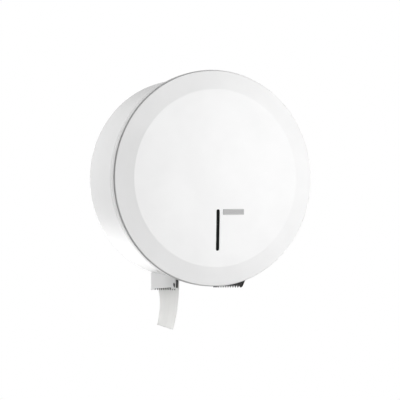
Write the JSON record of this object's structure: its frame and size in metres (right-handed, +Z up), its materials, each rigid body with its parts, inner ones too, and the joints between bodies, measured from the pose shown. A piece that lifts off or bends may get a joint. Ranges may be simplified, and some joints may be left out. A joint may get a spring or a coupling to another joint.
{
  "type": "jumbo toilet roll dispenser",
  "caption": "Round wall-mounted steel dispenser for a large toilet roll, with a hinged lockable cover, a level window, a turning core hub and serrated tear bars below.",
  "frame": {"origin": "middle of the flat back, on the wall plane", "axes": "+Y into the wall, so the front faces -Y; +Z up; +X to the right seen from the front; the drum and spindle axis is Y"},
  "size_m": [0.3157, 0.132, 0.375],
  "materials": {
    "housing_paint": "white powder coat, semi-gloss",
    "cover_paint": "white powder coat, semi-gloss",
    "comb_plastic": "moulded, fine grain",
    "window_plastic": "polished, smoked",
    "zinc_steel": "bright zinc plate",
    "spring_steel": "bare spring steel",
    "lock_chrome": "chrome plate",
    "hub_plastic": "moulded, satin",
    "washer_plastic": "natural nylon",
    "rubber": "matt",
    "tissue": "soft, matt, lightly embossed",
    "core_card": "raw, spiral wound"
  },
  "bodies": {
    "housing": {"drum_housing": "housing_paint", "tear_bracket_left": "housing_paint", "tear_bracket_right": "housing_paint", "tear_comb_left": "comb_plastic", "tear_comb_right": "comb_plastic", "spindle_bracket": "zinc_steel", "spindle_shaft": "zinc_steel", "thrust_washer": "washer_plastic", "brake_washer": "spring_steel", "retaining_clip": "spring_steel", "hinge_leaf_fixed": "housing_paint", "hinge_rivets": "zinc_steel", "hinge_pin": "zinc_steel", "cover_bumpers": "rubber", "lock_housing": "lock_chrome", "lock_nut": "zinc_steel", "paper_tail": "tissue"},
    "cover": {"front_cover": "cover_paint", "level_window": "window_plastic", "window_studs": "zinc_steel", "window_clips": "spring_steel", "hinge_leaf_cover": "cover_paint", "catch_bracket": "zinc_steel"},
    "lock_core": {"lock_plug": "lock_chrome", "lock_cam": "zinc_steel", "cam_screw": "zinc_steel"},
    "roll": {"core_hub": "hub_plastic", "cardboard_core": "core_card", "paper_roll": "tissue"}
  },
  "joints": [
    {"name": "cover_hinge", "type": "hinge", "parent": "housing", "child": "cover", "pos_m": [0.1575, -0.106, 0], "axis": [0, 0, 1], "range_deg": [0, 170]},
    {"name": "lock_turn", "type": "hinge", "parent": "housing", "child": "lock_core", "pos_m": [0, -0.09, 0.14], "axis": [0, 0, 1], "range_deg": [0, 90]},
    {"name": "roll_spin", "type": "hinge", "parent": "housing", "child": "roll", "pos_m": [0, -0.055, 0], "axis": [0, 1, 0], "continuous": true}
  ]
}
